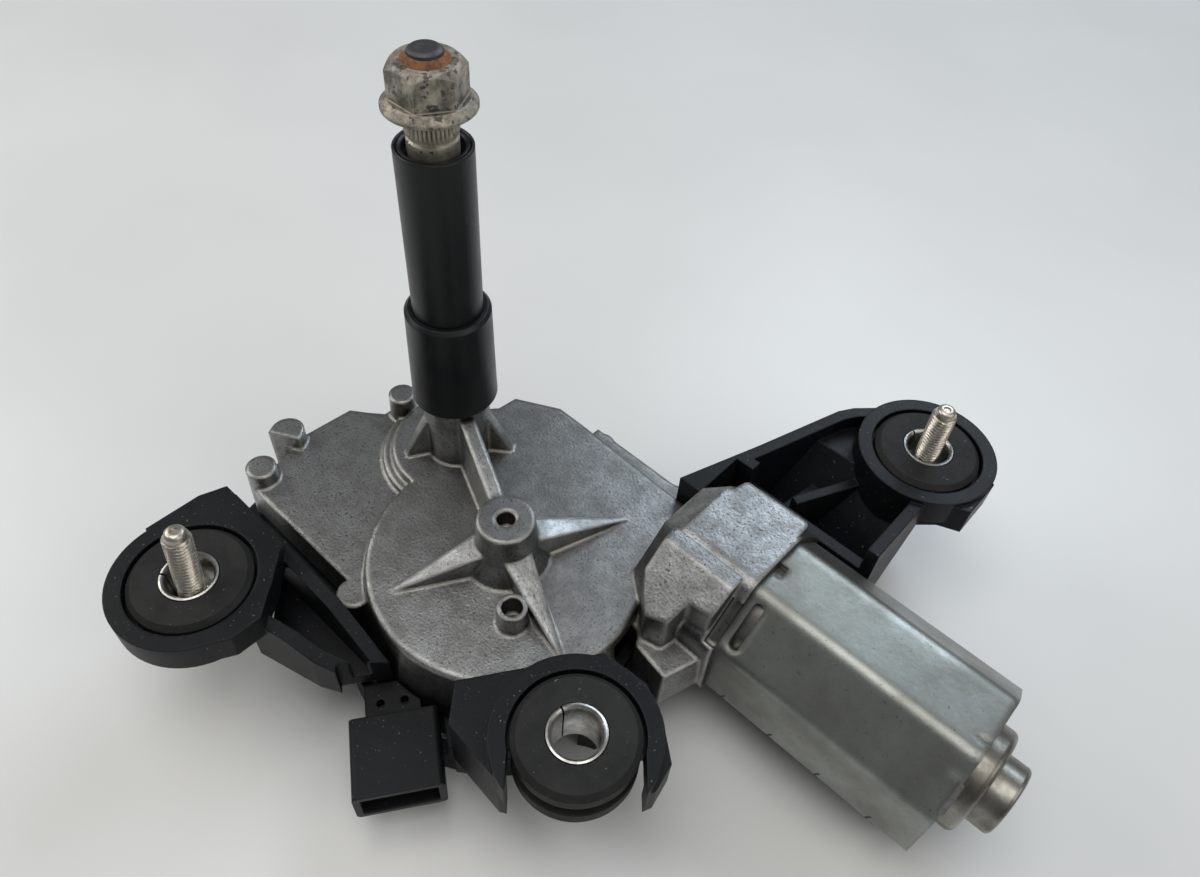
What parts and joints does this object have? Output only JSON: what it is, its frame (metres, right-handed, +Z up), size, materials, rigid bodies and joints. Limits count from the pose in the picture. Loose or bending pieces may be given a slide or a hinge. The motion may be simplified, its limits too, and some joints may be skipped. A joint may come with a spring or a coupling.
{
  "type": "rear wiper motor",
  "caption": "Rear wiper motor: die-cast gearbox with a tall spindle tower, a brush motor with an eight-sided flux ring, and a black bracket with three rubber mounts.",
  "frame": {"origin": "where the spindle's axis meets the flat underside of the gearbox cover", "axes": "+Z up along the wiper spindle, +X along the motor's axis away from the gearbox, +Y across the motor towards the long bracket arm"},
  "size_m": [0.1855, 0.1823, 0.1336],
  "materials": {
    "cast": "as cast, fine grained",
    "black_plastic": "moulded, satin",
    "cover_plastic": "moulded, satin",
    "rubber": "matt",
    "zinc_steel": "zinc plated",
    "dark_steel": "phosphated",
    "bright_steel": "ground",
    "copper": "enamelled wire",
    "brass": "plain",
    "ferrite": "sintered",
    "carbon": "pressed carbon",
    "bronze": "sintered bronze",
    "gear_plastic": "natural acetal",
    "board": "laminate"
  },
  "bodies": {
    "gearbox": {"gear_housing": "cast", "gear_cover": "cover_plastic", "cover_screws": "zinc_steel", "mounting_bracket": "black_plastic", "left_grommet": "rubber", "front_grommet": "rubber", "right_grommet": "rubber", "left_bush": "zinc_steel", "front_bush": "zinc_steel", "right_bush": "zinc_steel", "left_stud": "zinc_steel", "right_stud": "zinc_steel", "connector_shell": "black_plastic", "connector_terminals": "brass", "wheel_axle": "bright_steel", "tower_lower_bush": "bronze", "tower_upper_bush": "bronze", "shaft_seal": "rubber", "spindle_sleeve": "black_plastic", "tower_collar": "black_plastic", "motor_can": "zinc_steel", "flux_ring": "zinc_steel", "magnets": "ferrite", "rear_bearing": "bronze", "front_bearing": "bronze", "thrust_plug": "gear_plastic", "brush_holder": "board", "brushes": "carbon", "brush_springs": "brass", "contact_springs": "brass"},
    "armature": {"armature_shaft": "bright_steel", "armature_core": "dark_steel", "armature_windings": "copper", "commutator": "copper"},
    "wheel": {"worm_wheel": "gear_plastic", "crank_pin": "bright_steel", "park_disc": "brass"},
    "spindle": {"wiper_spindle": "bright_steel", "spindle_pinion": "dark_steel", "spindle_nut": "zinc_steel", "spindle_clip": "dark_steel"},
    "rocker": {"rocker_lower": "dark_steel", "rocker_upper": "dark_steel", "rocker_pin": "bright_steel"},
    "sector": {"sector_rod": "dark_steel"}
  },
  "joints": [
    {"name": "armature_spin", "type": "hinge", "parent": "gearbox", "child": "armature", "pos_m": [0, 0.0188, 0.023], "axis": [1, 0, 0], "continuous": true},
    {"name": "wheel_spin", "type": "hinge", "parent": "gearbox", "child": "wheel", "pos_m": [0.0336, -0.0152, 0.023], "axis": [0, 0, 1], "continuous": true},
    {"name": "spindle_swing", "type": "hinge", "parent": "gearbox", "child": "spindle", "pos_m": [0, 0, 0.02], "axis": [0, 0, 1], "range_deg": [-170.39, 0]},
    {"name": "rocker_swing", "type": "hinge", "parent": "gearbox", "child": "rocker", "pos_m": [0, 0, 0.01], "axis": [0, 0, 1], "range_deg": [-54.13, 0]},
    {"name": "sector_swing", "type": "hinge", "parent": "rocker", "child": "sector", "pos_m": [0.01313, -0.01639, 0.01], "axis": [0, 0, 1], "range_deg": [0, 58.16]}
  ],
  "couplings": [
    {"joint": "wheel_spin", "follows": "armature_spin", "ratio": 0.02},
    {"joint": "rocker_swing", "follows": "spindle_swing", "ratio": 0.31759},
    {"joint": "sector_swing", "follows": "spindle_swing", "ratio": -0.34121}
  ]
}
